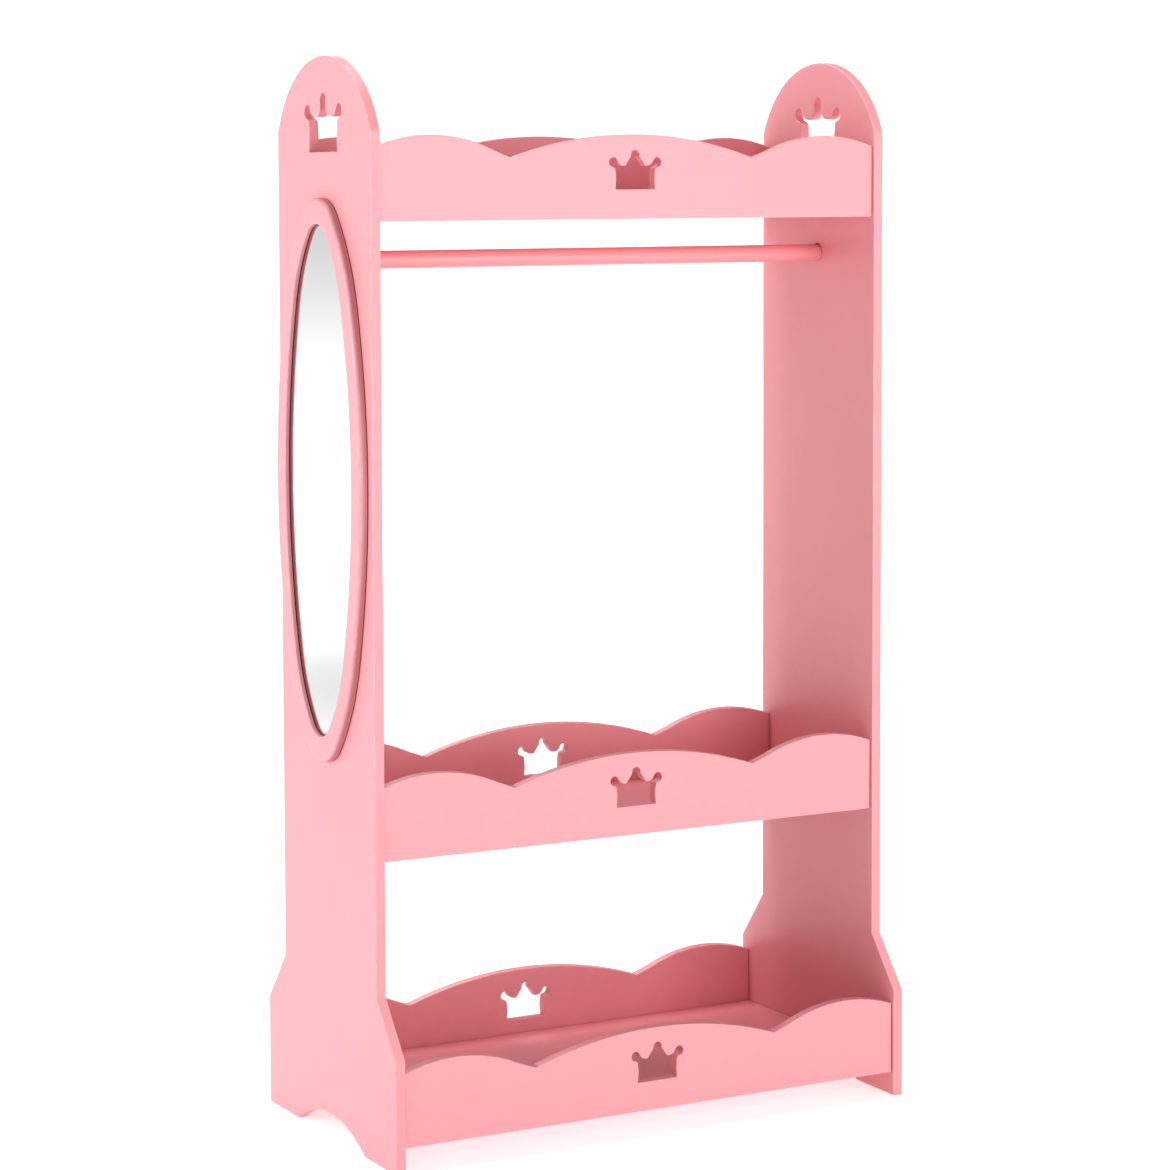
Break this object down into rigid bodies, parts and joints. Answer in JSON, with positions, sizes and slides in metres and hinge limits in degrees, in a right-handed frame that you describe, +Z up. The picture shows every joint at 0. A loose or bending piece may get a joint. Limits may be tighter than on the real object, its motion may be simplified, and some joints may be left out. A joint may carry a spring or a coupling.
{
  "type": "dress up storage unit",
  "caption": "Child's open dress-up storage unit: shaped side panels, scalloped trays with crown cut-outs, a hanging rod and an oval mirror on one side.",
  "frame": {"origin": "on the floor, under the middle of the whole unit, which the mirror frame makes 10 mm wider on the left", "axes": "+X to the right seen from the front, +Y from the front to the back, +Z up"},
  "size_m": [0.662, 0.337, 1.2],
  "materials": {
    "pink_paint": "satin pale pink paint on fibreboard",
    "rod_paint": "satin deeper pink paint on a turned wooden rod",
    "mirror_glass": "clear silvered glass",
    "backing_pad": "grey foam pad",
    "zinc_steel": "bright zinc plate",
    "zinc_cast": "dull cast zinc",
    "bare_wood": "bare beech"
  },
  "bodies": {
    "carcass": {"left_side_panel": "pink_paint", "right_side_panel": "pink_paint", "top_shelf": "pink_paint", "middle_shelf": "pink_paint", "bottom_shelf": "pink_paint", "top_front_rail": "pink_paint", "top_back_rail": "pink_paint", "middle_front_rail": "pink_paint", "middle_back_rail": "pink_paint", "bottom_front_rail": "pink_paint", "bottom_back_rail": "pink_paint", "mirror_frame": "pink_paint", "mirror_glass": "mirror_glass", "mirror_backing_pad": "backing_pad", "mirror_frame_screws": "zinc_steel", "cam_locks": "zinc_cast", "cam_bolts": "zinc_steel", "wood_dowels": "bare_wood"},
    "rod": {"hanging_rod": "rod_paint"}
  },
  "joints": [
    {"name": "rod_turn", "type": "hinge", "parent": "carcass", "child": "rod", "pos_m": [0.005, 0, 0.9765], "axis": [1, 0, 0], "continuous": true}
  ]
}
